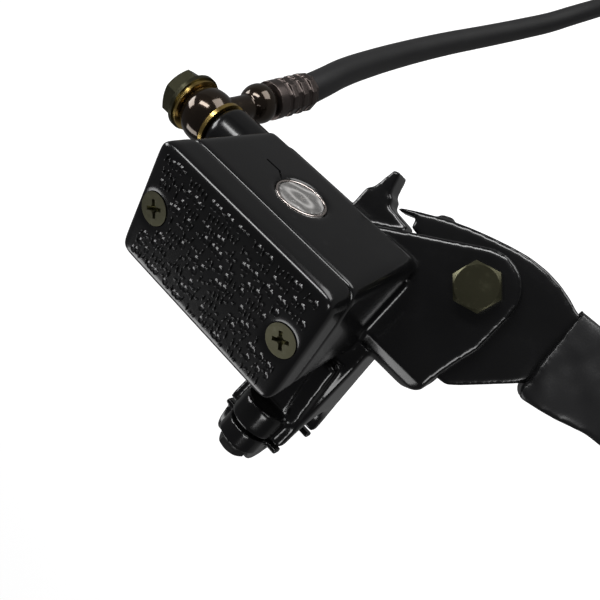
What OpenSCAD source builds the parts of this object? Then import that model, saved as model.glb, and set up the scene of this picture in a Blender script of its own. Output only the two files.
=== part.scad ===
// Front brake master cylinder with its lever, handlebar clamp, fluid reservoir and hose.
// The origin is the centre of the handlebar clamp's bore. +X runs along the handlebar towards
// the free end of the lever, +Y points forward, away from the rider, and +Z is square to the
// reservoir's lid. The piston bore runs along X. The lever turns in a plane that is tilted
// about X against the lid.

/* [Layout] */
// Tilt of the lever's plane against the reservoir's lid, in degrees
lever_tilt = 23; // [0:1:30]
// From the handlebar's axis forward to the piston bore's axis, in the lever's plane
bore_reach = 53; // [50:0.5:58]
// Height of the piston bore's axis above the handlebar's axis, square to the lever's plane
bore_lift = 7.5; // [5:0.5:9]

/* [Reservoir] */
// Length of the reservoir along the handlebar
reservoir_l = 55.5; // [54:0.5:57]
// Width of the reservoir, front to back
reservoir_w = 33.6; // [33:0.2:35]
// Inboard end of the reservoir
reservoir_x = -49.5; // [-50.5:0.5:-48.5]
// Front face of the reservoir
front_y = 67.5; // [66:0.5:69]
// Top of the lid
lid_top = 33.3; // [31:0.1:35]
// Thickness of the lid at its rim
lid_h = 9; // [7:0.5:10]
// Depth from the lid's top to the reservoir's underside
reservoir_depth = 39.2; // [38:0.2:40]
// Wall thickness of the reservoir
wall = 3; // [2.5:0.1:3.5]
// Distance between the two lid screws
screw_spacing = 44; // [42:0.5:45]
// Radius of the metal ring around the sight glass
glass_ring_r = 6.75; // [6.5:0.05:7]

/* [Hydraulics] */
// Bore of the master cylinder
bore_d = 12.7; // [11:0.1:14]
// Radius of the cast housing around the bore
housing_r = 10; // [9.5:0.1:11]
// Radius of the outlet boss
outlet_r = 8.8; // [8.5:0.1:10]
// Inboard end face of the outlet boss
outlet_x = -68.7; // [-70:0.1:-68]

/* [Lever] */
// Lever pivot, outboard of the clamp's middle
pivot_x = 19.5; // [18:0.5:21]
// Lever pivot, forward of the piston bore's axis
pivot_f = 15.7; // [15:0.1:17]
// Thickness of the lever's hub
lever_t = 8.4; // [8:0.1:9]
// Height of the ears' outer faces above and below the bore's axis
ear_h = 9.8; // [9:0.1:11]
// Radius of the ears' tips
ear_r = 10; // [9:0.5:11]
// Length over flats of the pivot bolt's hexagon
pivot_hex = 11; // [10:0.5:12]

/* [Handlebar clamp] */
// Diameter of the handlebar
bar_d = 22.2; // [22:0.1:25.4]
// Outer radius of the clamp's ring
ring_r = 15.2; // [14.8:0.1:16]
// Width of the clamp's front half along the handlebar
clamp_w = 20.5; // [20:0.5:21]
// Width of the clamp's rear strap along the handlebar
strap_w = 13; // [12:0.5:14]
// Distance of each clamp bolt from the handlebar's axis
bolt_offset = 16; // [15.5:0.1:18]

/* [Hose] */
// Outer diameter of the hose
hose_d = 10.5; // [10:0.1:10.5]
// Lean of the banjo's stem forward from straight down, in degrees
stem_lean = 11; // [5:1:20]

/* [Hidden] */
$fn = 48;

// Cut shapes run this far past the face that they open.
past = 1;
// Parts that lie face to face stay this far apart.
gap = 0.05;

bore_y = bore_reach * cos(lever_tilt) + bore_lift * sin(lever_tilt);
bore_z = -bore_reach * sin(lever_tilt) + bore_lift * cos(lever_tilt);
bore_r = bore_d / 2;
reservoir_end = reservoir_x + reservoir_l;
rear_y = front_y - reservoir_w;
mid_x = reservoir_x + reservoir_l / 2;
mid_y = front_y - reservoir_w / 2;
joint_z = lid_top - lid_h;
underside_z = lid_top - reservoir_depth;
floor_z = underside_z + 4;
corner_r = 3.8;
screws_x = [mid_x - screw_spacing / 2, mid_x + screw_spacing / 2];
glass_x = -23;
glass_z = 10.6;
slot_h = 4.5;
mouth_x = 4;
counterbore_r = 8;
counterbore_x = -2.5;
bore_end = -54;
blade_t = 8;
bar_r = bar_d / 2;
split_gap = 0.5;
boss_r = 7;
body_boss_end = 8;
cap_boss_r = 6.4;
cap_boss_end = -5.6;
// The clamp's front half reaches a little further outboard than inboard.
clamp_x0 = 0.2 - clamp_w / 2;
clamp_x1 = 0.2 + clamp_w / 2;
strap_x1 = 4.2;

// The banjo, stacked along the bore's axis from the outlet boss inboard.
washer_t = 1.3;
banjo_half = 5.3;
banjo_x = outlet_x - washer_t - banjo_half;
banjo_r = 8.7;
washer_r = 8.6;
flange_x = banjo_x - banjo_half - washer_t;
flange_t = 1.3;
flange_r = 9.2;
banjo_hex = 14;
collar_s = 21.8;
ferrule_s = 26.5;
ferrule_end_s = 46;

// The hose: the middle of its route from inside the ferrule down to the coil.
ROUTE = [
    [-75.3, 58.6, -49], [-75.7, 60.5, -59], [-77.3, 62.5, -70], [-79.8, 65, -84],
    [-82.6, 68.3, -107], [-84, 72.3, -131], [-84.2, 76.3, -152], [-83.2, 81, -173],
    [-81.2, 86, -193], [-78.7, 91.5, -213], [-75.5, 98, -234], [-72, 105, -254.5],
    [-69.2, 112, -272], [-66.8, 118.5, -290], [-65.3, 124, -308], [-65, 127.5, -325],
    [-65, 129, -342], [-65, 129, -360]
];
coil_r = 57;
coil_x = -65 + coil_r;
coil_z = -360;
// The two turns wind forward from the route's end, a little over a diameter for each turn.
turn_y = [129, 151];
coil_y = (turn_y[0] + turn_y[1]) / 2;
tail_end = -403;
lower_ferrule_end = -422;
lower_banjo_z = -436;

// Steps between the route's points, and sides of the hose's tube
tube_steps = 2;
tube_sides = 12;

// ---- shared shapes ----

// The lever's own frame: x along the bore, y forward in the lever's plane, z square to it.
module lever_frame() {
    translate([0, bore_y, bore_z]) rotate([-lever_tilt, 0, 0]) children();
}

// The same directions, with the handlebar's axis as the origin.
module clamp_frame() {
    rotate([-lever_tilt, 0, 0]) children();
}

// A flat outline drawn as (forward, up), extruded along X.
module along_x(x0, x1) {
    translate([x0, 0, 0]) rotate([90, 0, 90]) linear_extrude(x1 - x0) children();
}

// A cylinder along X.
module rod_x(x0, x1, r) {
    translate([x0, 0, 0]) rotate([0, 90, 0]) cylinder(h = x1 - x0, r = r);
}

// A cone along X.
module cone_x(x0, x1, r0, r1) {
    translate([x0, 0, 0]) rotate([0, 90, 0]) cylinder(h = x1 - x0, r1 = r0, r2 = r1);
}

// A cylinder along the bore's axis.
module on_bore(x0, x1, r) {
    translate([0, bore_y, bore_z]) rod_x(x0, x1, r);
}

// A flat ring along the bore's axis.
module bore_ring(x0, x1, r_out, r_in) {
    difference() {
        on_bore(x0, x1, r_out);
        on_bore(x0 - past, x1 + past, r_in);
    }
}

module rounded_rectangle(x0, x1, y0, y1, r) {
    translate([x0 + r, y0]) square([x1 - x0 - 2 * r, y1 - y0]);
    translate([x0, y0 + r]) square([x1 - x0, y1 - y0 - 2 * r]);
    for (x = [x0 + r, x1 - r])
        for (y = [y0 + r, y1 - r])
            translate([x, y]) circle(r);
}

// A slab over the reservoir's outline, drawn in from it all round.
module reservoir_slab(inset, z0, z1) {
    translate([0, 0, z0])
        linear_extrude(z1 - z0)
            rounded_rectangle(reservoir_x + inset, reservoir_end - inset,
                rear_y + inset, front_y - inset, max(corner_r - inset, 1.5));
}

module at_lid_screws() {
    for (x = screws_x)
        translate([x, mid_y, 0]) children();
}

module hexagon(over_flats, h) {
    cylinder(h = h, r = over_flats / 2 / cos(30), $fn = 6);
}

// A hexagon head with its outer corners turned off by a cone. The outer face is at h.
module turned_hexagon(over_flats, h) {
    intersection() {
        hexagon(over_flats, h);
        union() {
            cylinder(h = h - 0.8, r = over_flats);
            translate([0, 0, h - 0.8])
                cylinder(h = 0.8, r1 = over_flats / 2 + 1.1, r2 = over_flats / 2 - 0.3);
        }
    }
}

// ---- body casting ----

module reservoir_bowl() {
    intersection() {
        reservoir_slab(0.2, underside_z, joint_z - gap);
        along_x(reservoir_x - past, reservoir_end + past)
            rounded_rectangle(rear_y, front_y, underside_z, joint_z + corner_r, 2.4);
    }
}

module reservoir_cavity() {
    difference() {
        reservoir_slab(wall, floor_z, joint_z + past);
        at_lid_screws() translate([0, 0, floor_z - past]) cylinder(h = lid_h * 4, r = 4.4);
        translate([glass_x, front_y - 6, glass_z]) rotate([-90, 0, 0]) cylinder(h = 6, r = 9);
    }
}

module ear_outline() {
    translate([pivot_x, pivot_f]) circle(ear_r);
    polygon([
        [-14, 8.2], [pivot_x - 4.94, pivot_f + 8.69], [pivot_x, pivot_f],
        [pivot_x + ear_r, pivot_f], [29.5, 4], [28.2, -1], [27.2, -6.5], [26.5, -11.4],
        [-6, -11.4], [-14, -6]
    ]);
}

module horn_outline() {
    polygon([
        [-21, 5], [-20.8, 15.8], [-19.3, 17], [-18, 23.8], [-16, 24.4], [-14.4, 18.4],
        [-12.6, 18.1], [-12.8, 16.1], [-4.9, 15.2], [-4.9, 5]
    ]);
}

// The web that joins the two ears behind the lever. It slopes away from the ears' faces and
// is cut off towards its outboard end.
module rear_web() {
    intersection() {
        along_x(2, 26.7)
            polygon([
                [0, ear_h], [-11.2, ear_h], [-14.4, 7.4], [-16.4, 4], [-17.2, 0], [-16.4, -4],
                [-14.4, -7.4], [-11.2, -ear_h], [0, -ear_h]
            ]);
        translate([0, 0, -ear_h])
            linear_extrude(2 * ear_h)
                polygon([
                    [0, -18], [19, -18], [21.5, -16.8], [23.8, -15.5], [25.8, -14], [26.7, -12.4],
                    [26.7, 0], [0, 0]
                ]);
    }
}

// A boss for one clamp bolt, joined to the ring by its straight sides.
module clamp_boss(from_y, to_y, side, r) {
    translate([0, from_y, side * bolt_offset])
        rotate([-90, 0, 0]) cylinder(h = to_y - from_y, r = r);
    translate([-r, from_y, side > 0 ? bolt_offset - 6 : -bolt_offset])
        cube([2 * r, to_y - from_y, 6]);
}

// The arm from the bore's housing back to the front half of the clamp's ring.
module clamp_arm() {
    along_x(clamp_x0, clamp_x1)
        difference() {
            union() {
                circle(ring_r);
                polygon([
                    [3, 14.9], [14, 12.6], [30, 11.8], [42, 14], [bore_reach, 13],
                    [bore_reach, -1], [44, -2.5], [30, -5.5], [14, -10.8], [3, -14.9]
                ]);
            }
            translate([-ring_r - past, -ring_r - past])
                square([ring_r + past + split_gap, 2 * (ring_r + past)]);
        }
    for (side = [-1, 1])
        clamp_boss(split_gap, body_boss_end, side, boss_r);
    // raised pad along the arm's upper side, set slightly askew
    translate([0, 0, 9]) linear_extrude(6) {
        polygon([[4.8, 9], [9.2, 9], [7.4, 28], [1.2, 28]]);
        translate([7, 9]) circle(2.2);
    }
}

module bore_and_ports() {
    on_bore(bore_end, mouth_x + past, bore_r);
    on_bore(counterbore_x, mouth_x + past, counterbore_r);
    on_bore(-1.5, -0.3, counterbore_r + 0.8);
    on_bore(outlet_x - past, bore_end + past, 2);
    on_bore(outlet_x - past, outlet_x + 11, 5);
    // compensating port and feed port, from the reservoir's floor to the bore
    translate([-29.3, bore_y, bore_z]) cylinder(h = floor_z - bore_z + past, r = 0.5);
    translate([-15, bore_y, bore_z]) cylinder(h = floor_z - bore_z + past, r = 1.5);
}

module body() color([0.06, 0.06, 0.065]) difference() {
    union() {
        reservoir_bowl();
        on_bore(outlet_x + 2, mouth_x, outlet_r);
        translate([0, bore_y, bore_z])
            cone_x(outlet_x, outlet_x + 2, outlet_r - 1.5, outlet_r);
        on_bore(reservoir_x + 1.5, mouth_x, housing_r);
        translate([reservoir_x + 1.5, bore_y - 8, bore_z])
            cube([reservoir_end - reservoir_x - 3, 16, underside_z - bore_z + 2]);
        lever_frame() {
            translate([0, 0, -ear_h]) linear_extrude(2 * ear_h) ear_outline();
            translate([0, 0, -5]) linear_extrude(10) horn_outline();
            rear_web();
        }
        clamp_frame() clamp_arm();
    }
    reservoir_cavity();
    bore_and_ports();
    lever_frame() {
        // the slot that the lever turns in, open at its front and outboard sides
        translate([-4.8, 10.8, -slot_h]) cube([50, 30, 2 * slot_h]);
        translate([mouth_x, -11.2, -slot_h]) cube([50, 40, 2 * slot_h]);
        translate([pivot_x, pivot_f, 0]) cylinder(h = ear_h + past, r = 3.55);
        translate([pivot_x, pivot_f, -ear_h - past]) cylinder(h = ear_h + past, r = 3.05);
    }
    clamp_frame() {
        rod_x(clamp_x0 - past, clamp_x1 + past, bar_r);
        for (side = [-1, 1])
            translate([0, -past, side * bolt_offset])
                rotate([-90, 0, 0]) cylinder(h = body_boss_end, r = 2.5);
    }
    at_lid_screws() translate([0, 0, joint_z - 14]) cylinder(h = 20, r = 2);
    translate([glass_x, front_y - 7, glass_z]) rotate([-90, 0, 0]) cylinder(h = 9, r = 4.8);
    translate([glass_x, front_y - 4.4, glass_z]) rotate([-90, 0, 0])
        cylinder(h = 6, r = glass_ring_r + gap);
}

// ---- lid, diaphragm and lid screws ----

pillar_end = joint_z + 3;
lid_edge_r = 1.8;

module reservoir_cap() color([0.05, 0.05, 0.055]) difference() {
    intersection() {
        reservoir_slab(0, joint_z, lid_top);
        along_x(reservoir_x - past, reservoir_end + past)
            rounded_rectangle(rear_y, front_y, joint_z - lid_h, lid_top, lid_edge_r);
        translate([0, front_y + past, 0]) rotate([90, 0, 0]) linear_extrude(reservoir_w + 2 * past)
            rounded_rectangle(reservoir_x, reservoir_end, joint_z - lid_h, lid_top, lid_edge_r);
    }
    difference() {
        reservoir_slab(1.4, joint_z - past, joint_z + 4.5);
        at_lid_screws() translate([0, 0, pillar_end]) cylinder(h = lid_h, r = 4.6);
    }
    at_lid_screws() {
        translate([0, 0, joint_z - past]) cylinder(h = lid_h + 2 * past, r = 2.2);
        translate([0, 0, lid_top - 2.4]) cylinder(h = 2.5, r1 = 2.2, r2 = 4.3);
    }
}

module diaphragm_plate() color([0.75, 0.75, 0.72]) difference() {
    reservoir_slab(1.7, joint_z + 1.6, pillar_end - gap);
    at_lid_screws() translate([0, 0, joint_z]) cylinder(h = lid_h, r = 2.4);
    translate([mid_x, mid_y, joint_z]) cylinder(h = lid_h, r = 1);
}

// A rubber bellows: a flange that seals the lid's joint and a shallow well with one fold.
module cap_diaphragm() color([0.1, 0.1, 0.1]) difference() {
    union() {
        reservoir_slab(1.6, joint_z + gap, joint_z + 1.55);
        difference() {
            reservoir_slab(10.5, joint_z - 7, joint_z + 1);
            reservoir_slab(12, joint_z - 5.6, joint_z + 3);
        }
        difference() {
            reservoir_slab(13.5, joint_z - 6, joint_z - 2);
            reservoir_slab(14.6, joint_z - 8, joint_z - 3.2);
        }
    }
    difference() {
        reservoir_slab(12, joint_z - 2, joint_z + 3);
        reservoir_slab(13.5, joint_z - 7, joint_z - 2);
    }
    at_lid_screws() translate([0, 0, joint_z - past]) cylinder(h = 4, r = 2.4);
}

module cap_screws() color([0.62, 0.6, 0.5]) at_lid_screws() difference() {
    union() {
        translate([0, 0, lid_top - 2.3]) cylinder(h = 2.2, r1 = 2, r2 = 4.1);
        translate([0, 0, joint_z - 12]) cylinder(h = lid_top - 2.2 - joint_z + 12, r = 1.95);
    }
    // cross recess
    for (turn = [0, 90])
        rotate([0, 0, 30 + turn]) translate([-2.3, -0.5, lid_top - 1.6]) cube([4.6, 1, 2]);
    translate([0, 0, lid_top - 2.4]) cylinder(h = 2.5, r1 = 0.5, r2 = 1.1);
}

// ---- sight glass ----

module along_glass(y0, y1, r) {
    translate([glass_x, y0, glass_z]) rotate([-90, 0, 0]) cylinder(h = y1 - y0, r = r);
}

module sight_glass() color([0.8, 0.85, 0.85]) {
    along_glass(front_y - 3.2, front_y - 1.3, glass_ring_r - 0.15);
    along_glass(front_y - 1.4, front_y - 0.5, 5.8);
}

module sight_glass_ring() color([0.85, 0.85, 0.82]) difference() {
    along_glass(front_y - 1.25, front_y + 0.1, glass_ring_r);
    along_glass(front_y - 2, front_y + past, 6);
}

module sight_glass_seal() color([0.08, 0.08, 0.08])
    translate([glass_x, front_y - 3.8, glass_z]) rotate([-90, 0, 0])
        rotate_extrude() translate([5.9, 0]) circle(0.55);

module splash_plate() color([0.78, 0.78, 0.78]) difference() {
    translate([-36, bore_y - 7, floor_z + gap]) cube([28, 14, 0.6]);
    translate([-32, bore_y - 3.5, floor_z - past]) cylinder(h = 3, r = 1);
    translate([-12, bore_y + 3.5, floor_z - past]) cylinder(h = 3, r = 1);
}

// ---- rear half of the clamp and its bolts ----

module clamp_cap() color([0.06, 0.06, 0.065]) clamp_frame() difference() {
    union() {
        along_x(strap_x1 - strap_w, strap_x1)
            difference() {
                circle(ring_r - 0.8);
                translate([-split_gap, -ring_r - past]) square(2 * (ring_r + past));
            }
        // wider lips where the strap meets the front half
        along_x(clamp_x0, clamp_x1)
            intersection() {
                circle(ring_r - 0.6);
                translate([-2, -ring_r]) square([2 - split_gap, 2 * ring_r]);
            }
        for (side = [-1, 1])
            clamp_boss(cap_boss_end, -split_gap, side, cap_boss_r);
    }
    rod_x(clamp_x0 - past, clamp_x1 + past, bar_r);
    for (side = [-1, 1]) {
        translate([0, past, side * bolt_offset])
            rotate([90, 0, 0]) cylinder(h = 20, r = 2.8);
        // flat seat for the bolt's head
        translate([0, cap_boss_end, side * bolt_offset])
            rotate([90, 0, 0]) cylinder(h = 12, r = 5.2);
    }
}

module clamp_bolts() color([0.1, 0.1, 0.1]) clamp_frame() for (side = [-1, 1])
    translate([0, cap_boss_end - gap, side * bolt_offset]) rotate([90, 0, 0]) {
        cylinder(h = 0.9, r = 5);
        translate([0, 0, 0.8]) turned_hexagon(8, 2.6);
        translate([0, 0, cap_boss_end - body_boss_end + 2]) cylinder(h = 12, r = 2.45);
    }

// ---- lever ----

module lever_blade_outline() {
    polygon([
        // front edge, from the nose outboard
        [-10.6, 17.3], [-5.6, 20], [1.7, 23.4], [7, 25.3], [12, 26.8], [17.5, 28.2],
        [22.7, 29.2], [28, 29.4], [32.3, 28.9], [36.5, 27.8], [40, 26.4], [55, 26], [65, 25],
        [75, 23.5], [85, 21.5], [95, 19.5], [105, 17.7], [115, 16.4], [125, 15.6], [135, 15.2],
        [155, 16], [168, 17.6],
        // rear edge, back to the hub
        [168, 7.4], [155, 4.6], [135, 3.4], [115, 4.2], [95, 6.6], [75, 9], [58, 9.6],
        [44, 6.9], [32.4, -5.8], [29.8, -8.2], [26, -8.6], [21, -6], [15, -3.4], [13, -1.5],
        [12.4, 0], [12.6, 2], [13, 6], [12, 11], [9, 14], [-4.6, 15.6], [-5, 18.4],
        [-10.4, 16.6]
    ]);
}

module lever() color([0.07, 0.07, 0.075]) lever_frame() difference() {
    union() {
        translate([0, 0, -lever_t / 2])
            linear_extrude(lever_t) intersection() {
                lever_blade_outline();
                translate([-20, -20]) square([62, 60]);
            }
        translate([0, 0, -blade_t / 2])
            linear_extrude(blade_t) intersection() {
                lever_blade_outline();
                translate([41, -20]) square([140, 60]);
            }
        // small raised tab on the front edge
        translate([-1, 21.6, -2]) rotate([0, 0, 23]) cube([4, 1.6, 4]);
        // ball end
        translate([174, 12.6, 0]) sphere(r = 8.2);
    }
    translate([pivot_x, pivot_f, -lever_t]) cylinder(h = 2 * lever_t, r = 4.95);
}

// A soft rubber sleeve over the lever's blade, a little wider than the blade at its mouth.
module lever_sleeve() color([0.12, 0.12, 0.12]) lever_frame() difference() {
    translate([0, 0, -7])
        linear_extrude(14)
            polygon([
                [39.4, 28], [46, 28], [58, 27.6], [66, 26.8], [75, 25.4], [85, 23.5],
                [95, 21.5], [105, 19.7], [115, 18.4], [125, 17.6], [135, 17.2], [155, 18],
                [164, 19], [164, 5], [155, 2.6], [135, 1.4], [115, 2.2], [95, 5],
                [75, 7.4], [68, 7.8], [60, 7.2], [44.4, 2.4], [42.6, 4.4], [43.3, 7.1]
            ]);
    translate([0, 0, -blade_t / 2 - 0.3])
        linear_extrude(blade_t + 0.6)
            polygon([
                [30, 30], [36.5, 28.2], [40, 26.8], [55, 26.4], [65, 25.4], [75, 23.9],
                [85, 21.9], [95, 19.9], [105, 18.1], [115, 16.8], [125, 16], [135, 15.6],
                [155, 16.4], [170, 18.2], [170, 7.4], [155, 4.2], [135, 3], [115, 3.8],
                [95, 6.2], [75, 8.6], [58, 9.2], [43.6, 6.4], [30, -9]
            ]);
}

module pivot_bush() color([0.72, 0.6, 0.35]) lever_frame() translate([pivot_x, pivot_f, 0])
    difference() {
        translate([0, 0, -lever_t / 2]) cylinder(h = lever_t, r = 4.9);
        translate([0, 0, -lever_t]) cylinder(h = 2 * lever_t, r = 3.55);
    }

module pivot_bolt() color([0.45, 0.45, 0.38]) lever_frame() translate([pivot_x, pivot_f, 0]) {
    translate([0, 0, ear_h + gap]) rotate([0, 0, 13.4]) turned_hexagon(pivot_hex, 5);
    translate([0, 0, -lever_t / 2 - 0.25]) cylinder(h = ear_h + lever_t / 2 + 0.3, r = 3.5);
    translate([0, 0, -16.5]) cylinder(h = 15, r = 3);
}

module pivot_nut() color([0.45, 0.45, 0.38]) lever_frame()
    translate([pivot_x, pivot_f, -ear_h - gap]) difference() {
        rotate([180, 0, 0]) turned_hexagon(10, 5);
        translate([0, 0, -8]) cylinder(h = 12, r = 3.05);
    }

// ---- piston and its seals, along the bore ----

piston_end = 11.9;
piston_nose = -24;

module piston() color([0.7, 0.68, 0.6]) {
    on_bore(piston_nose, piston_nose + 3.5, bore_r - 0.05);
    on_bore(piston_nose + 3.4, -2.6, 4);
    on_bore(-6, -2.6, bore_r - 0.05);
    on_bore(-2.7, piston_end - 1, 4);
    translate([0, bore_y, bore_z]) cone_x(piston_end - 1.05, piston_end, 4, 3);
}

module primary_cup() color([0.08, 0.08, 0.08]) difference() {
    on_bore(piston_nose - 4, piston_nose - gap, bore_r - 0.06);
    on_bore(piston_nose - 5, piston_nose - 2, bore_r - 1.4);
}

module secondary_cup() color([0.08, 0.08, 0.08])
    bore_ring(-9.5, -6 - gap, bore_r - 0.06, 4 + gap);

// The helix that pushes the piston back.
spring_turns = 7;
spring_r = 4.2;
spring_wire = 1.1;
spring_from = -53.3;
spring_to = -27.2;
ring_points = 14;

function helix_point(i) =
    let (part = i / (spring_turns * ring_points), a = part * spring_turns * 360)
    [spring_from + part * (spring_to - spring_from),
        bore_y + spring_r * cos(a), bore_z + spring_r * sin(a)];

module return_spring() color([0.7, 0.7, 0.72])
    tube([for (i = [0 : spring_turns * ring_points]) helix_point(i)],
        spring_wire / 2, 6, [1, 0, 0]);

module stop_washer() color([0.7, 0.7, 0.7])
    bore_ring(counterbore_x + gap, -1.6, counterbore_r - 0.1, 4.3);

module circlip() color([0.3, 0.3, 0.3]) difference() {
    bore_ring(-1.45, -0.35, counterbore_r + 0.7, 6.6);
    translate([-3, bore_y - 3, bore_z - 12]) cube([5, 6, 8]);
}

module dust_boot() color([0.09, 0.09, 0.09]) difference() {
    union() {
        on_bore(-0.25, 3.6, counterbore_r - 0.1);
        translate([0, bore_y, bore_z]) cone_x(3.5, 4.8, 6.8, 5.8);
    }
    on_bore(-past, 6, 4.1);
    on_bore(-past, 3, 6.4);
}

// ---- banjo and its hose end ----

// From the middle of the banjo along its stem.
module stem_frame() {
    translate([banjo_x, bore_y, bore_z]) rotate([180 + stem_lean, 0, 0]) children();
}

module banjo_bolt() color([0.45, 0.45, 0.35]) difference() {
    union() {
        on_bore(flange_x - flange_t, flange_x - gap, flange_r);
        translate([flange_x - flange_t + 0.1, bore_y, bore_z])
            rotate([0, -90, 0]) rotate([0, 0, 20]) turned_hexagon(banjo_hex, 5.6);
        on_bore(flange_x - 1, outlet_x + 10, 4.95);
    }
    on_bore(banjo_x, outlet_x + 11, 1.6);
    translate([banjo_x, bore_y, bore_z - 6]) cylinder(h = 12, r = 1.1);
}

module banjo_washers() color([0.75, 0.6, 0.28]) {
    bore_ring(flange_x + gap / 2, flange_x + washer_t - gap / 2, washer_r, 5.1);
    bore_ring(outlet_x - washer_t + gap / 2, outlet_x - gap / 2, washer_r, 5.1);
}

module banjo_fitting() color([0.12, 0.1, 0.08]) difference() {
    union() {
        intersection() {
            translate([banjo_x, bore_y, bore_z]) sphere(r = banjo_r);
            on_bore(banjo_x - banjo_half, banjo_x + banjo_half, banjo_r + 2);
        }
        stem_frame() {
            cylinder(h = 18, r1 = 4.4, r2 = 3.8);
            translate([0, 0, collar_s]) intersection() {
                sphere(r = 6.4);
                translate([0, 0, -5]) cylinder(h = 5 + ferrule_s - collar_s, r = 8);
            }
        }
    }
    on_bore(banjo_x - 10, banjo_x + 10, 5.15);
    stem_frame() cylinder(h = ferrule_s + past, r = 1.4);
}

// A crimped sleeve: a plain band, three crimped bands with flats and a rolled end.
module crimped_sleeve(length) {
    difference() {
        union() {
            cylinder(h = 4, r = 6.4);
            translate([0, 0, 3.9]) cylinder(h = length - 3.9, r = 6.1, $fn = 8);
            for (band = [6, 11, 15.5])
                translate([0, 0, band]) cylinder(h = 2.4, r = 6.6, $fn = 10);
        }
        translate([0, 0, 2]) cylinder(h = length, r = hose_d / 2 + gap);
        translate([0, 0, -past]) cylinder(h = 5, r = 1.6);
    }
}

module hose_ferrule() color([0.2, 0.17, 0.15])
    stem_frame() translate([0, 0, ferrule_s + gap]) crimped_sleeve(ferrule_end_s - ferrule_s);

// A tube of one radius around a line of points. Side must not be parallel to the line.
function unit(v) = v / norm(v);
function heading(line, i) =
    unit(line[min(i + 1, len(line) - 1)] - line[max(i - 1, 0)]);

module tube(line, r, sides, side) {
    rings = [for (i = [0 : len(line) - 1])
        let (along = heading(line, i), u = unit(cross(along, side)), w = cross(along, u))
        for (k = [0 : sides - 1])
            line[i] + r * (cos(k * 360 / sides) * u + sin(k * 360 / sides) * w)];
    last = (len(line) - 1) * sides;
    polyhedron(rings, concat(
        [[for (k = [0 : sides - 1]) k]],
        [for (i = [0 : len(line) - 2]) for (k = [0 : sides - 1])
            let (a = i * sides + k, b = i * sides + (k + 1) % sides)
            each [[a, a + sides, b + sides], [a, b + sides, b]]],
        [[for (k = [sides - 1 : -1 : 0]) last + k]]
    ));
}

// A smooth curve through the route's points.
function smooth_point(a, b, c, d, t) =
    0.5 * (2 * b + (c - a) * t + (2 * a - 5 * b + 4 * c - d) * t * t
        + (3 * b - 3 * c + d - a) * t * t * t);
function smooth(line, steps) = concat(
    [for (i = [0 : len(line) - 2]) for (j = [0 : steps - 1])
        smooth_point(line[max(i - 1, 0)], line[i], line[i + 1],
            line[min(i + 2, len(line) - 1)], j / steps)],
    [line[len(line) - 1]]);

module brake_hose() color([0.09, 0.09, 0.09])
    tube(smooth(ROUTE, tube_steps), hose_d / 2, tube_sides, [1, 0, 0]);

// The outer shape of the two turns, which wind side by side.
module hose_coil() color([0.09, 0.09, 0.09])
    translate([coil_x, coil_y, coil_z]) rotate([90, 0, 0])
        rotate_extrude($fn = 96)
            for (side = [-1, 1])
                translate([coil_r, side * (turn_y[1] - turn_y[0]) / 2]) {
                    circle(hose_d / 2);
                    translate([-hose_d / 2, side > 0 ? -(turn_y[1] - turn_y[0]) / 2 : 0])
                        square([hose_d, (turn_y[1] - turn_y[0]) / 2]);
                }

// A band round both turns at the top of the coil.
module hose_tie() color([0.15, 0.15, 0.15])
    translate([coil_x, coil_y, coil_z + coil_r]) difference() {
        cube([6, turn_y[1] - turn_y[0] + 14, 14], center = true);
        cube([8, turn_y[1] - turn_y[0] + 11.4, 11.6], center = true);
    }

module hose_tail() color([0.09, 0.09, 0.09])
    translate([coil_x - coil_r, turn_y[1], tail_end]) cylinder(h = coil_z - tail_end, r = hose_d / 2);

module lower_ferrule() color([0.2, 0.17, 0.15])
    translate([coil_x - coil_r, turn_y[1], lower_ferrule_end]) crimped_sleeve(23);

module lower_banjo() color([0.12, 0.1, 0.08]) difference() {
    translate([coil_x - coil_r, turn_y[1], lower_banjo_z]) {
        intersection() {
            sphere(r = banjo_r);
            rod_x(-banjo_half, banjo_half, banjo_r + 2);
        }
        cylinder(h = lower_ferrule_end - lower_banjo_z - gap, r = 4.4);
    }
    translate([coil_x - coil_r, turn_y[1], lower_banjo_z]) {
        rod_x(-10, 10, 5.15);
        cylinder(h = 30, r = 1.4);
    }
}

body();
reservoir_cap();
cap_screws();
diaphragm_plate();
cap_diaphragm();
sight_glass();
sight_glass_ring();
sight_glass_seal();
splash_plate();
clamp_cap();
clamp_bolts();
lever();
lever_sleeve();
pivot_bush();
pivot_bolt();
pivot_nut();
piston();
primary_cup();
secondary_cup();
return_spring();
stop_washer();
circlip();
dust_boot();
banjo_bolt();
banjo_washers();
banjo_fitting();
hose_ferrule();
brake_hose();
hose_coil();
hose_tie();
hose_tail();
lower_ferrule();
lower_banjo();
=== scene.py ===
import math
import random

import bpy
from mathutils import Matrix, Vector


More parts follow.
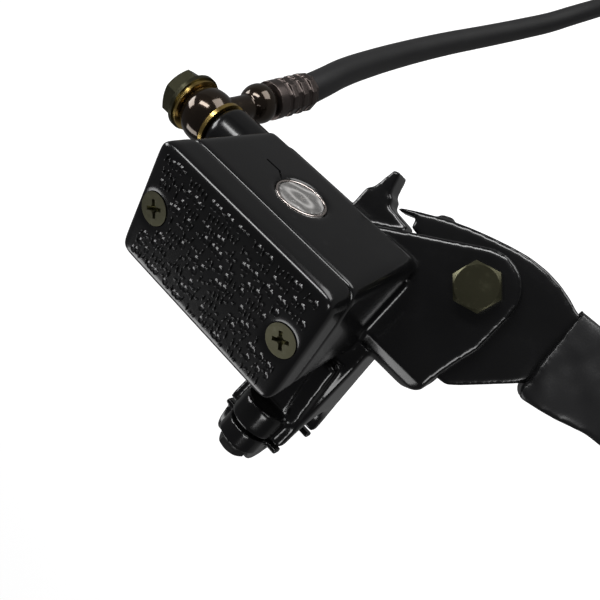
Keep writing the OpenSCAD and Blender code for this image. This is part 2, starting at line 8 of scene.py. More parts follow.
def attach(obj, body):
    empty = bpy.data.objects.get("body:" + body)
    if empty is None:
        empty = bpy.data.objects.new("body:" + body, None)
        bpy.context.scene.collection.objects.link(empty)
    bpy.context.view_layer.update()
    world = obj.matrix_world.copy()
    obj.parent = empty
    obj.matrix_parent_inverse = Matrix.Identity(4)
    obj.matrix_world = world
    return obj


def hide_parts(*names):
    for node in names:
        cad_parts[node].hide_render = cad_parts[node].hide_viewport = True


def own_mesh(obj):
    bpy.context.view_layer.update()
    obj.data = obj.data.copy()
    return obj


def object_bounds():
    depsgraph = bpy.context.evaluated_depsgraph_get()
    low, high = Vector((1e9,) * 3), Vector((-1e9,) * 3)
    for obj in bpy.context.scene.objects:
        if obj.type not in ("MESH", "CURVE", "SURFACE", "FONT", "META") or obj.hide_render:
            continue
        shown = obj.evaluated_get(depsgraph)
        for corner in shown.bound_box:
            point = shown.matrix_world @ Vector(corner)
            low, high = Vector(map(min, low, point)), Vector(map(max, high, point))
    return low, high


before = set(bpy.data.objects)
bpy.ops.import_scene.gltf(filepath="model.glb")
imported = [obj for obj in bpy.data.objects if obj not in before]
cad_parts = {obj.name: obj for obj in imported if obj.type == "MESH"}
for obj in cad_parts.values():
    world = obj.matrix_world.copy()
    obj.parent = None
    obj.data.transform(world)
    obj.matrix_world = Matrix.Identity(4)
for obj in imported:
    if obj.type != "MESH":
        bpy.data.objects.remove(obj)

cad_low, cad_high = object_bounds()


# ---- Studio ----
# A plain white floor under the part, five large soft boxes and a close camera that looks down
# on the reservoir's lid from in front, from the side of the lever.
bpy.ops.object.select_all(action="DESELECT")
bpy.ops.object.camera_add()
camera = bpy.context.object
camera.name = "studio_camera"
camera_axes = Matrix((
    (0.6788, 0.4514, -0.5792),
    (-0.6796, 0.6849, -0.2627),
    (0.2782, 0.5719, 0.7717),
)).transposed()
camera.matrix_world = Matrix.Translation((0.03419, 0.13463, 0.13109)) @ camera_axes.to_4x4()
camera.data.sensor_width = 36
camera.data.lens = 37.416
camera.data.clip_start = 0.005
camera.data.clip_end = 50
bpy.context.scene.camera = camera
bpy.context.scene.view_settings.view_transform = "Standard"

FLOOR_SIZE = 16
FLOOR_GAP = 0.0005
bpy.ops.mesh.primitive_plane_add(size=FLOOR_SIZE, location=(0, 0, cad_low.z - FLOOR_GAP))
floor = bpy.context.object
floor.name = "studio_floor"

# The camera sees the paper nearly white. The part sees it much darker, so that black paint
# stays black.
paper = bpy.data.materials.new("studio_paper")
paper.use_nodes = True
paper.node_tree.nodes.clear()
paper_out = paper.node_tree.nodes.new("ShaderNodeOutputMaterial")
paper_mix = paper.node_tree.nodes.new("ShaderNodeMixShader")
paper_seen = paper.node_tree.nodes.new("ShaderNodeAddShader")
paper_glow = paper.node_tree.nodes.new("ShaderNodeEmission")
paper_glow.inputs["Strength"].default_value = 0.94
paper_lit = paper.node_tree.nodes.new("ShaderNodeBsdfDiffuse")
paper_lit.inputs["Color"].default_value = (0.4, 0.4, 0.4, 1)
paper_bounce = paper.node_tree.nodes.new("ShaderNodeEmission")
paper_bounce.inputs["Strength"].default_value = 0.15
paper_ray = paper.node_tree.nodes.new("ShaderNodeLightPath")
paper.node_tree.links.new(paper_glow.outputs[0], paper_seen.inputs[0])
paper.node_tree.links.new(paper_lit.outputs[0], paper_seen.inputs[1])
paper.node_tree.links.new(paper_ray.outputs["Is Camera Ray"], paper_mix.inputs[0])
paper.node_tree.links.new(paper_bounce.outputs[0], paper_mix.inputs[1])
paper.node_tree.links.new(paper_seen.outputs[0], paper_mix.inputs[2])
paper.node_tree.links.new(paper_mix.outputs[0], paper_out.inputs["Surface"])
floor.data.materials.append(paper)

room = bpy.data.worlds.new("studio_room")
room.use_nodes = True
room.node_tree.nodes["Background"].inputs["Color"].default_value = (0.07, 0.07, 0.073, 1)
bpy.context.scene.world = room

# name, direction from the lid, distance, width and height in metres, power in watts
SOFT_BOXES = [
    ("front_box", (-0.30, 0.78, 0.52), 0.75, 0.50, 0.16, 3.6),
    ("low_front_box", (0.12, 0.94, -0.24), 0.80, 0.60, 0.50, 4.2),
    ("rear_box", (-0.28, -0.85, 0.42), 0.80, 0.50, 0.26, 1.5),
    ("left_box", (-0.93, 0.20, 0.35), 0.70, 0.24, 0.40, 2.6),
    ("top_box", (0.62, 0.10, 0.78), 0.80, 0.30, 0.30, 2.0),
]
lid_middle = Vector((-0.02, 0.05, 0.02))
for box_name, towards, distance, width, height, power in SOFT_BOXES:
    place = lid_middle + Vector(towards).normalized() * distance
    bpy.ops.object.light_add(type="AREA", location=place)
    soft_box = bpy.context.object
    soft_box.name = box_name
    soft_box.rotation_euler = (lid_middle - place).to_track_quat("-Z", "Y").to_euler()
    soft_box.data.shape = "RECTANGLE"
    soft_box.data.size = width
    soft_box.data.size_y = height
    soft_box.data.energy = power
    soft_box.visible_camera = False


# ---- Brake hose ----
# A rubber hose with a woven layer under its skin, 10.5 mm across. It hangs from the banjo's
# ferrule, and what the rider never sees is wound in two turns under a strap.
MM = 0.001


def node_group(name, inputs, outputs):
    group = bpy.data.node_groups.new(name, "ShaderNodeTree")
    for title, kind, value in inputs:
        socket = group.interface.new_socket(name=title, in_out="INPUT", socket_type=kind)
        if value is not None:
            socket.default_value = value
    for title, kind in outputs:
        group.interface.new_socket(name=title, in_out="OUTPUT", socket_type=kind)
    inside = group.nodes.new("NodeGroupInput")
    outside = group.nodes.new("NodeGroupOutput")
    return group, inside, outside


# Small dents and a soft mottle, as on paint, rubber or plating.
skin_grain, grain_in, grain_out = node_group(
    "skin_grain",
    [("Vector", "NodeSocketVector", None), ("Coarse", "NodeSocketFloat", 500.0),
     ("Fine", "NodeSocketFloat", 3000.0), ("Fine Share", "NodeSocketFloat", 0.3)],
    [("Height", "NodeSocketFloat"), ("Mottle", "NodeSocketFloat")],
)
grain_coarse = skin_grain.nodes.new("ShaderNodeTexNoise")
grain_coarse.inputs["Detail"].default_value = 2.0
grain_fine = skin_grain.nodes.new("ShaderNodeTexNoise")
grain_fine.inputs["Detail"].default_value = 3.0
grain_wide = skin_grain.nodes.new("ShaderNodeTexNoise")
grain_wide.inputs["Scale"].default_value = 60.0
grain_wide.inputs["Detail"].default_value = 5.0
grain_mix = skin_grain.nodes.new("ShaderNodeMix")
grain_mix.data_type = "FLOAT"
for texture in (grain_coarse, grain_fine, grain_wide):
    skin_grain.links.new(grain_in.outputs["Vector"], texture.inputs["Vector"])
skin_grain.links.new(grain_in.outputs["Coarse"], grain_coarse.inputs["Scale"])
skin_grain.links.new(grain_in.outputs["Fine"], grain_fine.inputs["Scale"])
skin_grain.links.new(grain_in.outputs["Fine Share"], grain_mix.inputs[0])
skin_grain.links.new(grain_coarse.outputs[0], grain_mix.inputs[2])
skin_grain.links.new(grain_fine.outputs[0], grain_mix.inputs[3])
skin_grain.links.new(grain_mix.outputs[0], grain_out.inputs["Height"])
skin_grain.links.new(grain_wide.outputs[0], grain_out.inputs["Mottle"])

# A thin film of dust and small rubbed patches, from 0 to 1.
handling_marks, marks_in, marks_out = node_group(
    "handling_marks",
    [("Vector", "NodeSocketVector", None), ("Scale", "NodeSocketFloat", 120.0),
     ("Amount", "NodeSocketFloat", 0.3)],
    [("Mask", "NodeSocketFloat")],
)
marks_patch = handling_marks.nodes.new("ShaderNodeTexNoise")
marks_patch.inputs["Detail"].default_value = 8.0
marks_patch.inputs["Roughness"].default_value = 0.7
marks_speck = handling_marks.nodes.new("ShaderNodeTexVoronoi")
marks_speck.feature = "F1"
marks_speck.inputs["Randomness"].default_value = 1.0
marks_ramp = handling_marks.nodes.new("ShaderNodeValToRGB")
marks_ramp.color_ramp.elements[0].position = 0.55
marks_ramp.color_ramp.elements[1].position = 0.8
marks_dots = handling_marks.nodes.new("ShaderNodeMath")
marks_dots.operation = "LESS_THAN"
marks_dots.inputs[1].default_value = 0.07
marks_sum = handling_marks.nodes.new("ShaderNodeMath")
marks_sum.operation = "MAXIMUM"
marks_amount = handling_marks.nodes.new("ShaderNodeMath")
marks_amount.operation = "MULTIPLY"
for texture in (marks_patch, marks_speck):
    handling_marks.links.new(marks_in.outputs["Vector"], texture.inputs["Vector"])
    handling_marks.links.new(marks_in.outputs["Scale"], texture.inputs["Scale"])
handling_marks.links.new(marks_patch.outputs[0], marks_ramp.inputs[0])
handling_marks.links.new(marks_speck.outputs["Distance"], marks_dots.inputs[0])
handling_marks.links.new(marks_ramp.outputs[0], marks_sum.inputs[0])
handling_marks.links.new(marks_dots.outputs[0], marks_sum.inputs[1])
handling_marks.links.new(marks_sum.outputs[0], marks_amount.inputs[0])
handling_marks.links.new(marks_in.outputs["Amount"], marks_amount.inputs[1])
handling_marks.links.new(marks_amount.outputs[0], marks_out.inputs["Mask"])


def finish(name, colour, roughness, metallic=0.0, coat=0.0, specular=0.5, coarse=500.0,
           fine=3000.0, fine_share=0.3, depth=0.02, marks=0.2, marks_scale=120.0, worn=None):
    """A material with a grained skin, a mottled colour and rubbed patches."""
    material = bpy.data.materials.new(name)
    material.use_nodes = True
    tree = material.node_tree
    shader = tree.nodes["Principled BSDF"]
    shader.inputs["Metallic"].default_value = metallic
    shader.inputs["Coat Weight"].default_value = coat
    shader.inputs["Coat Roughness"].default_value = 0.06
    shader.inputs["Specular IOR Level"].default_value = specular
    place = tree.nodes.new("ShaderNodeTexCoord")
    grain = tree.nodes.new("ShaderNodeGroup")
    grain.node_tree = skin_grain
    grain.inputs["Coarse"].default_value = coarse
    grain.inputs["Fine"].default_value = fine
    grain.inputs["Fine Share"].default_value = fine_share
    wear = tree.nodes.new("ShaderNodeGroup")
    wear.node_tree = handling_marks
    wear.inputs["Scale"].default_value = marks_scale
    wear.inputs["Amount"].default_value = marks
    tone = tree.nodes.new("ShaderNodeMix")
    tone.data_type = "RGBA"
    tone.inputs[6].default_value = (*[c * 0.75 for c in colour], 1)
    tone.inputs[7].default_value = (*[min(1, c * 1.25) for c in colour], 1)
    rubbed = tree.nodes.new("ShaderNodeMix")
    rubbed.data_type = "RGBA"
    rubbed.inputs[7].default_value = (*(worn or [min(1, c * 1.6 + 0.01) for c in colour]), 1)
    sheen = tree.nodes.new("ShaderNodeMapRange")
    sheen.inputs["To Min"].default_value = max(0.02, roughness - 0.05)
    sheen.inputs["To Max"].default_value = min(1, roughness + 0.05)
    dull = tree.nodes.new("ShaderNodeMath")
    dull.operation = "MULTIPLY_ADD"
    dull.inputs[1].default_value = 0.25
    bump = tree.nodes.new("ShaderNodeBump")
    bump.inputs["Strength"].default_value = 1.0
    bump.inputs["Distance"].default_value = depth * MM
    tree.links.new(place.outputs["Object"], grain.inputs["Vector"])
    tree.links.new(place.outputs["Object"], wear.inputs["Vector"])
    tree.links.new(grain.outputs["Mottle"], tone.inputs[0])
    tree.links.new(tone.outputs[2], rubbed.inputs[6])
    tree.links.new(wear.outputs["Mask"], rubbed.inputs[0])
    tree.links.new(rubbed.outputs[2], shader.inputs["Base Color"])
    tree.links.new(grain.outputs["Mottle"], sheen.inputs["Value"])
    tree.links.new(wear.outputs["Mask"], dull.inputs[0])
    tree.links.new(sheen.outputs["Result"], dull.inputs[2])
    tree.links.new(dull.outputs[0], shader.inputs["Roughness"])
    tree.links.new(grain.outputs["Height"], bump.inputs["Height"])
    tree.links.new(bump.outputs["Normal"], shader.inputs["Normal"])
    return material


def wear_finish(piece, material):
    piece.data.materials.clear()
    piece.data.materials.append(material)


hose_rubber = finish("hose_rubber", (0.0085, 0.0085, 0.009), 0.42, specular=0.5, coarse=700,
                     fine=2600, fine_share=0.5, depth=0.03, marks=0.25, marks_scale=200)
HOSE_ROUTE = [
    (-75.3, 58.6, -49), (-75.7, 60.5, -59), (-77.3, 62.5, -70), (-79.8, 65, -84),
    (-82.6, 68.3, -107), (-84, 72.3, -131), (-84.2, 76.3, -152), (-83.2, 81, -173),
    (-81.2, 86, -193), (-78.7, 91.5, -213), (-75.5, 98, -234), (-72, 105, -254.5),
    (-69.2, 112, -272), (-66.8, 118.5, -290), (-65.3, 124, -308), (-65, 127.5, -325),
    (-65, 129, -342),
]
HOSE_D = 10.5
COIL_X, COIL_Z = -8, -360
COIL_R = 57
TURNS = 2
TURN_STEPS = 36
TURN_FROM, TURN_TO = 129, 151
TAIL = (-374, -388, -403)
hose_points = list(HOSE_ROUTE)
for step in range(TURN_STEPS + 1):
    share = step / TURN_STEPS
    angle = share * TURNS * 2 * math.pi
    hose_points.append((
        COIL_X - COIL_R * math.cos(angle),
        TURN_FROM + (TURN_TO - TURN_FROM) * share,
        COIL_Z - COIL_R * math.sin(angle),
    ))
hose_points += [(COIL_X - COIL_R, TURN_TO, z) for z in TAIL]
bpy.ops.curve.primitive_bezier_curve_add()
hose = bpy.context.object
hose.name = "brake_hose_line"
hose.data.dimensions = "3D"
line = hose.data.splines[0]
line.bezier_points.add(len(hose_points) - 2)
for point, place in zip(line.bezier_points, hose_points):
    point.co = Vector(place) * MM
    point.handle_left_type = point.handle_right_type = "AUTO"
hose.data.resolution_u = 6
hose.data.bevel_depth = HOSE_D / 2 * MM
hose.data.bevel_resolution = 8
hose.data.use_fill_caps = True
hose.data.materials.append(hose_rubber)
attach(hose, "housing")
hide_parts("brake_hose", "hose_coil", "hose_tail")

# A nylon strap, closed round both turns where they lie side by side at the coil's top.
strap_nylon = finish("strap_nylon", (0.02, 0.02, 0.022), 0.42, coarse=900, depth=0.03)
STRAP_MIDDLE = (COIL_X, 142.75, COIL_Z + COIL_R)
STRAP_SIZE = (5, 23.5, 12.5)
STRAP_T = 1.1
bpy.ops.mesh.primitive_cube_add(size=1, location=Vector(STRAP_MIDDLE) * MM)
strap = bpy.context.object
strap.name = "hose_strap"
strap.scale = Vector(STRAP_SIZE) * MM
bpy.ops.object.transform_apply(location=True, rotation=False, scale=True)
bpy.ops.object.mode_set(mode="EDIT")
bpy.ops.mesh.select_mode(type="FACE")
bpy.ops.mesh.select_all(action="DESELECT")
bpy.ops.object.mode_set(mode="OBJECT")
for face in strap.data.polygons:
    face.select = abs(face.normal.x) > 0.9
bpy.ops.object.mode_set(mode="EDIT")
bpy.ops.mesh.inset(thickness=STRAP_T * MM)
bpy.ops.mesh.bridge_edge_loops()
bpy.ops.mesh.select_mode(type="VERT")
bpy.ops.object.mode_set(mode="OBJECT")
round_off = strap.modifiers.new("round_off", "BEVEL")
round_off.width = 0.4 * MM
round_off.segments = 2
bpy.ops.object.modifier_apply(modifier=round_off.name)
bpy.ops.object.shade_smooth_by_angle(angle=math.radians(40))
wear_finish(strap, strap_nylon)
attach(strap, "housing")
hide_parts("hose_tie")


# ---- Body casting ----
# One aluminium casting holds the reservoir's bowl, the piston's housing, the two ears, the
# lug in front and the front half of the handlebar clamp. It is painted gloss black.

def pick(*objects):
    """Select only these objects, with the last one active."""
    if bpy.context.object and bpy.context.object.mode != "OBJECT":
        bpy.ops.object.mode_set(mode="OBJECT")
    bpy.ops.object.select_all(action="DESELECT")
    for piece in objects:
        piece.select_set(True)
    bpy.context.view_layer.objects.active = objects[-1]


MERGE = 0.000002


def softened(node, name, voxel, rounds, keep=1.0):
    """A copy of a solid with the soft corners of a casting or a moulding.

    voxel is the mesh's pitch in mm, rounds is how often it is smoothed, and keep is the share
    of its faces that stay.
    """
    piece = bpy.data.objects.new(name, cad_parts[node].data.copy())
    bpy.context.scene.collection.objects.link(piece)
    pick(piece)
    bpy.ops.object.mode_set(mode="EDIT")
    bpy.ops.mesh.select_all(action="SELECT")
    bpy.ops.mesh.remove_doubles(threshold=MERGE)
    bpy.ops.object.mode_set(mode="OBJECT")
    even = piece.modifiers.new("even", "REMESH")
    even.mode = "VOXEL"
    even.voxel_size = voxel * MM
    bpy.ops.object.modifier_apply(modifier=even.name)
    soft = piece.modifiers.new("soft", "SMOOTH")
    soft.factor = 0.5
    soft.iterations = rounds
    bpy.ops.object.modifier_apply(modifier=soft.name)
    if keep < 1:
        fewer = piece.modifiers.new("fewer", "DECIMATE")
        fewer.ratio = keep
        bpy.ops.object.modifier_apply(modifier=fewer.name)
    bpy.ops.object.shade_smooth()
    even_light = piece.modifiers.new("even_light", "WEIGHTED_NORMAL")
    bpy.ops.object.modifier_apply(modifier=even_light.name)
    return piece


casting_paint = finish("casting_paint", (0.0035, 0.0035, 0.0037), 0.2, specular=0.4, coat=0.2,
                       coarse=420, fine=2400, fine_share=0.25, depth=0.014, marks=0.12,
                       marks_scale=90, worn=(0.02, 0.02, 0.021))
body = softened("body", "body_casting", 0.5, 26, 0.33)

# The fluid's level line is a shallow groove in the front face that runs to the sight glass.
LEVEL_LINE = [(-37.0, 8.85), (-32.7, 8.85), (-29.2, 11.6)]
GROOVE_DEPTH = 0.6
GROOVE_W = 0.6
GROOVE_OVERLAP = 0.5
FRONT_Y = 67.5
bpy.ops.mesh.primitive_plane_add(size=1)
groove = bpy.context.object
groove.name = "level_groove"
bpy.ops.object.mode_set(mode="EDIT")
bpy.ops.mesh.delete(type="VERT")
bpy.ops.object.mode_set(mode="OBJECT")
for start, end in zip(LEVEL_LINE, LEVEL_LINE[1:]):
    middle = ((start[0] + end[0]) / 2, (start[1] + end[1]) / 2)
    length = math.dist(start, end) + GROOVE_OVERLAP
    lean = math.atan2(end[1] - start[1], end[0] - start[0])
    bpy.ops.mesh.primitive_cube_add(size=1)
    cutter = bpy.context.object
    cutter.scale = Vector((length, 2 * GROOVE_DEPTH, GROOVE_W)) * MM
    cutter.rotation_euler = (0, -lean, 0)
    cutter.location = Vector((middle[0], FRONT_Y, middle[1])) * MM
    bpy.ops.object.transform_apply(location=True, rotation=True, scale=True)
    pick(cutter, groove)
    bpy.ops.object.join()
pick(body)
cut = body.modifiers.new("cut", "BOOLEAN")
cut.operation = "DIFFERENCE"
cut.use_self = True
cut.object = groove
bpy.ops.object.modifier_apply(modifier=cut.name)
bpy.data.objects.remove(groove)
wear_finish(body, casting_paint)
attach(body, "housing")
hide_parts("body")


# ---- Lid, its relief and its two screws ----
# A cast lid 9 mm thick with rounded edges, painted like the body. Rows of short raised bars
# and rings cover its top, and two countersunk cross-recess screws in olive zinc hold it.
lid = softened("reservoir_cap", "lid_casting", 0.5, 36)
wear_finish(lid, casting_paint)
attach(lid, "housing")
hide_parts("reservoir_cap")

LID_TOP = 33.3
LID_MIDDLE_Y = 50.7
LID_SCREWS = ((-43.75, LID_MIDDLE_Y), (0.25, LID_MIDDLE_Y))
SCREW_CLEAR = 5.6
ROWS = 10
ROW_PITCH = 2.95
ROW_FROM, ROW_TO = -45.8, 2.6
BAR_PITCH = 1.25
BAR_SIZE = (0.42, 1.0, 0.8)
RING_SHARE = 0.3
UPRIGHT_SHARE = 0.68
bpy.ops.mesh.primitive_cube_add(size=1, location=(0, 0, 0))
bar = bpy.context.object
bar.scale = Vector(BAR_SIZE) * MM
bpy.ops.object.transform_apply(location=True, rotation=False, scale=True)
crown = bar.modifiers.new("crown", "BEVEL")
crown.width = 0.14 * MM
crown.segments = 1
bpy.ops.object.modifier_apply(modifier=crown.name)
bpy.ops.mesh.primitive_torus_add(
    major_segments=12, minor_segments=5, major_radius=0.62 * MM, minor_radius=0.22 * MM)
ring = bpy.context.object
chance = random.Random(27)
bars = []
for row in range(ROWS):
    y = LID_MIDDLE_Y + (row - (ROWS - 1) / 2) * ROW_PITCH
    x = ROW_FROM + chance.uniform(0, 1.5)
    run = chance.randint(3, 8)
    while x < ROW_TO:
        clear = all(math.dist((x, y), screw) > SCREW_CLEAR for screw in LID_SCREWS)
        if run == 0:
            run = chance.randint(3, 8)
            x += BAR_PITCH * 0.9
            continue
        if clear:
            rounded = chance.random() < RING_SHARE
            piece = ring.copy() if rounded else bar.copy()
            piece.data = piece.data.copy()
            bpy.context.scene.collection.objects.link(piece)
            upright = rounded or chance.random() < UPRIGHT_SHARE
            stretch = 1.0
            if rounded:
                stretch = 1.35
            elif upright:
                stretch = chance.choice((1.5, 1.9, 2.1))
            lean = chance.choice((0, 0.25, -0.25)) if upright else math.pi / 2
            shift = chance.choice((-0.8, 0, 0.8)) * (0.3 if upright else 1)
            piece.matrix_world = (
                Matrix.Translation(Vector((x, y + shift, LID_TOP)) * MM)
                @ Matrix.Rotation(lean, 4, "Z") @ Matrix.Diagonal((1, stretch, 1, 1))
            )
            bars.append(piece)
        x += BAR_PITCH
        run -= 1
bpy.data.objects.remove(bar)
bpy.data.objects.remove(ring)
pick(*bars)
bpy.ops.object.join()
relief = bpy.context.object
relief.name = "lid_relief"
bpy.ops.object.transform_apply(location=True, rotation=True, scale=True)
bpy.ops.object.shade_smooth_by_angle(angle=math.radians(60))
wear_finish(relief, casting_paint)
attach(relief, "housing")

olive_zinc = finish("olive_zinc", (0.17, 0.165, 0.105), 0.34, metallic=1.0, coarse=900,
                    fine=4200, fine_share=0.5, marks=0.35, marks_scale=500,
                    worn=(0.28, 0.28, 0.22))
seal_rubber = finish("seal_rubber", (0.02, 0.02, 0.02), 0.6, coarse=900, depth=0.03)
plate_plastic = finish("plate_plastic", (0.5, 0.5, 0.47), 0.5, coarse=600)
wear_finish(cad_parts["cap_screws"], olive_zinc)
wear_finish(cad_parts["cap_diaphragm"], seal_rubber)
wear_finish(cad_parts["diaphragm_plate"], plate_plastic)


# ---- Sight glass ----
# A clear round lens pressed into the front face behind a thin rolled ring of bright metal,
# with a rubber ring under it. The light its moulded swirls catch is a painted highlight: pale
# rings mixed into the lens's base colour.
bright_metal = finish("bright_metal", (0.72, 0.64, 0.6), 0.2, metallic=1.0, coarse=1500,
                      depth=0.006, marks=0.15, marks_scale=600)
GLASS_MIDDLE = (-23.0, 66.9, 10.6)
GLASS_RING_R = 6.48
GLASS_RING_T = 0.26
bpy.ops.mesh.primitive_torus_add(
    major_segments=96, minor_segments=16,
    major_radius=GLASS_RING_R * MM, minor_radius=GLASS_RING_T * MM,
    location=Vector(GLASS_MIDDLE) * MM, rotation=(math.pi / 2, 0, 0))
glass_ring = bpy.context.object
glass_ring.name = "polished_ring"
bpy.ops.object.transform_apply(location=True, rotation=True, scale=True)
bpy.ops.object.mode_set(mode="EDIT")
bpy.ops.mesh.select_all(action="SELECT")
bpy.ops.transform.resize(value=(1, 0.8, 1))
bpy.ops.object.mode_set(mode="OBJECT")
bpy.ops.object.shade_smooth()
wear_finish(glass_ring, bright_metal)
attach(glass_ring, "housing")
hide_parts("sight_glass_ring")
wear_finish(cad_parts["sight_glass_seal"], seal_rubber)
lens_clear = finish("lens_clear", (0.13, 0.127, 0.123), 0.1, specular=0.8, coat=0.8, coarse=170,
                    fine=600, fine_share=0.25, depth=1.6, marks=0.6, marks_scale=210,
                    worn=(0.55, 0.54, 0.52))
GLINT_RINGS_MIDDLE = (-23.5, 66.9, 10.2)
lens_tree = lens_clear.node_tree
lens_shader = lens_tree.nodes["Principled BSDF"]
lens_coord = lens_tree.nodes.new("ShaderNodeTexCoord")
lens_place = lens_tree.nodes.new("ShaderNodeMapping")
lens_place.inputs["Location"].default_value = Vector(GLINT_RINGS_MIDDLE) * -MM
# Painted highlight: a ring texture that mixes a pale grey into the lens's colour, standing in
# for light caught by the swirls.
painted_glint_rings = lens_tree.nodes.new("ShaderNodeTexWave")
painted_glint_rings.wave_type = "RINGS"
painted_glint_rings.rings_direction = "SPHERICAL"
painted_glint_rings.inputs["Scale"].default_value = 75
painted_glint_rings.inputs["Distortion"].default_value = 11
painted_glint_rings.inputs["Detail"].default_value = 1
painted_glint_rings.inputs["Detail Scale"].default_value = 1.3
painted_glint_mask = lens_tree.nodes.new("ShaderNodeMath")
painted_glint_mask.operation = "POWER"
painted_glint_mask.inputs[1].default_value = 3.0
painted_glint_mix = lens_tree.nodes.new("ShaderNodeMix")
painted_glint_mix.data_type = "RGBA"
painted_glint_mix.inputs[7].default_value = (0.42, 0.41, 0.4, 1)
lens_base = lens_shader.inputs["Base Color"].links[0].from_socket
lens_tree.links.new(lens_coord.outputs["Object"], lens_place.inputs["Vector"])
lens_tree.links.new(lens_place.outputs["Vector"], painted_glint_rings.inputs["Vector"])
lens_tree.links.new(painted_glint_rings.outputs["Fac"], painted_glint_mask.inputs[0])
lens_tree.links.new(painted_glint_mask.outputs[0], painted_glint_mix.inputs[0])
lens_tree.links.new(lens_base, painted_glint_mix.inputs[6])
lens_tree.links.new(painted_glint_mix.outputs[2], lens_shader.inputs["Base Color"])
wear_finish(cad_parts["sight_glass"], lens_clear)


# ---- Piston, seals and spring ----
# An anodised piston with two rubber cups slides in the bore. A wire spring pushes it back
# against a washer and a circlip, under a rubber boot.
piston_alloy = finish("piston_alloy", (0.55, 0.5, 0.38), 0.3, metallic=1.0, coarse=1200,
                      depth=0.01)
spring_steel = finish("spring_steel", (0.5, 0.5, 0.5), 0.25, metallic=1.0, coarse=1500,
                      depth=0.01)
wear_finish(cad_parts["piston"], piston_alloy)
for node in ("primary_cup", "secondary_cup", "dust_boot"):
    wear_finish(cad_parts[node], seal_rubber)
for node in ("stop_washer", "circlip", "splash_plate"):
    wear_finish(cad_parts[node], spring_steel)

# A copy of the CAD spring, with its vertices merged and its shading smoothed. The real spring
# closes up towards its inboard end as the piston comes in.
coil_spring = bpy.data.objects.new("coil_spring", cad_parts["return_spring"].data.copy())
bpy.context.scene.collection.objects.link(coil_spring)
pick(coil_spring)
bpy.ops.object.mode_set(mode="EDIT")
bpy.ops.mesh.select_all(action="SELECT")
bpy.ops.mesh.remove_doubles(threshold=MERGE)
bpy.ops.object.mode_set(mode="OBJECT")
bpy.ops.object.shade_smooth_by_angle(angle=math.radians(60))
wear_finish(coil_spring, spring_steel)
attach(coil_spring, "housing")
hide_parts("return_spring")
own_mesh(coil_spring)


# ---- Banjo, its bolt and its washers ----
# A forged ball with a hole across it, held to the outlet by a hollow bolt in dark olive zinc,
# between two yellow washers. Its neck ends in a round collar, where the ferrule begins.
dark_olive = finish("dark_olive", (0.062, 0.06, 0.036), 0.3, metallic=0.9, coarse=900,
                    fine=4200, fine_share=0.5, marks=0.35, marks_scale=500,
                    worn=(0.12, 0.118, 0.08))
dark_plating = finish("dark_plating", (0.045, 0.032, 0.022), 0.13, metallic=0.85, coat=0.5,
                      coarse=500, depth=0.012, marks=0.2, marks_scale=220,
                      worn=(0.16, 0.12, 0.08))
gold_plating = finish("gold_plating", (0.62, 0.44, 0.14), 0.22, metallic=1.0, coarse=1500,
                      depth=0.01, marks=0.3, marks_scale=700, worn=(0.7, 0.6, 0.36))
banjo = softened("banjo_fitting", "banjo_forging", 0.25, 4)
wear_finish(banjo, dark_plating)
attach(banjo, "housing")
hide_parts("banjo_fitting")
wear_finish(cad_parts["banjo_bolt"], dark_olive)
wear_finish(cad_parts["banjo_washers"], gold_plating)
lower_banjo = softened("lower_banjo", "lower_banjo_forging", 0.3, 4)
wear_finish(lower_banjo, dark_plating)
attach(lower_banjo, "housing")
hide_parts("lower_banjo")


# ---- Crimped ferrules ----
# Short steel sleeves, pressed onto the ends of the hose in three bands with flats, and
# plated dark brown.
ferrule_plating = finish("ferrule_plating", (0.1, 0.082, 0.076), 0.3, metallic=0.9, coarse=800,
                         fine=3500, fine_share=0.4, marks=0.35, marks_scale=300,
                         worn=(0.24, 0.2, 0.18))
ferrule = softened("hose_ferrule", "crimped_ferrule", 0.2, 3)
lower_ferrule = softened("lower_ferrule", "lower_crimped_ferrule", 0.2, 3)
for piece, node in ((ferrule, "hose_ferrule"), (lower_ferrule, "lower_ferrule")):
    wear_finish(piece, ferrule_plating)
    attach(piece, "housing")
    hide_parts(node)


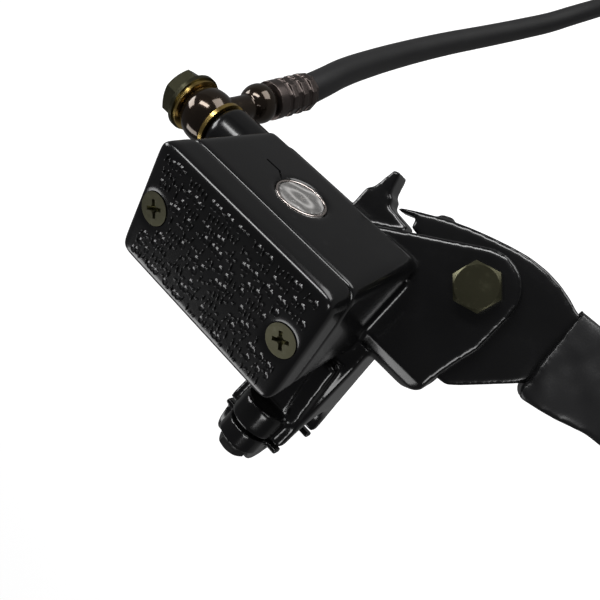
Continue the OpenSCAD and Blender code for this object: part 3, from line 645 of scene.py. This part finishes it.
# ---- Clamp cap and bolts ----
# The rear half of the handlebar clamp is a cast strap with two bolt bosses, and two
# black hexagon-head bolts pull it to the body.
clamp_cap = softened("clamp_cap", "clamp_cap_casting", 0.3, 14)
wear_finish(clamp_cap, casting_paint)
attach(clamp_cap, "housing")
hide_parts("clamp_cap")
black_zinc = finish("black_zinc", (0.045, 0.045, 0.045), 0.35, metallic=0.8, coarse=900,
                    marks=0.3, marks_scale=400)
wear_finish(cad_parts["clamp_bolts"], black_zinc)


# ---- Lever and its pivot ----
# A cast lever, painted like the body, turns in the slot between the ears on a bronze bush
# and a shouldered bolt in dark olive zinc, with a nut below.
lever_paint = finish("lever_paint", (0.0035, 0.0035, 0.0037), 0.22, specular=0.42, coat=0.2,
                     coarse=380, fine=2200, fine_share=0.25, depth=0.014, marks=0.12,
                     marks_scale=80, worn=(0.02, 0.02, 0.021))
bronze = finish("bronze", (0.5, 0.33, 0.14), 0.3, metallic=1.0, coarse=1500, depth=0.01)
lever = softened("lever", "lever_casting", 0.45, 32, 0.8)
wear_finish(lever, lever_paint)
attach(lever, "lever")
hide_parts("lever")
wear_finish(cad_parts["pivot_bush"], bronze)
wear_finish(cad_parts["pivot_bolt"], dark_olive)
wear_finish(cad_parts["pivot_nut"], dark_olive)


# ---- Rubber sleeve ----
# A soft rubber sleeve pulled over the lever's blade. Its mouth stands open a little, and
# it lies in shallow folds where it was rolled on.
sleeve_rubber = finish("sleeve_rubber", (0.005, 0.005, 0.0055), 0.33, specular=0.5, coarse=34,
                       fine=2200, fine_share=0.004, depth=4.2, marks=0.12, marks_scale=100,
                       worn=(0.012, 0.012, 0.0125))
sleeve = softened("lever_sleeve", "soft_sleeve", 0.6, 20)
folds = bpy.data.textures.new("folds", "CLOUDS")
folds.noise_scale = 0.015
folds.noise_depth = 1
pucker = sleeve.modifiers.new("pucker", "DISPLACE")
pucker.texture = folds
pucker.texture_coords = "OBJECT"
stretched = bpy.data.objects.new("fold_direction", None)
bpy.context.scene.collection.objects.link(stretched)
stretched.scale = (2.2, 0.9, 0.9)
pucker.texture_coords_object = stretched
pucker.strength = 0.0036
pucker.mid_level = 0.5
pick(sleeve)
bpy.ops.object.modifier_apply(modifier=pucker.name)
bpy.data.objects.remove(stretched)
wear_finish(sleeve, sleeve_rubber)
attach(sleeve, "lever")
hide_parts("lever_sleeve")
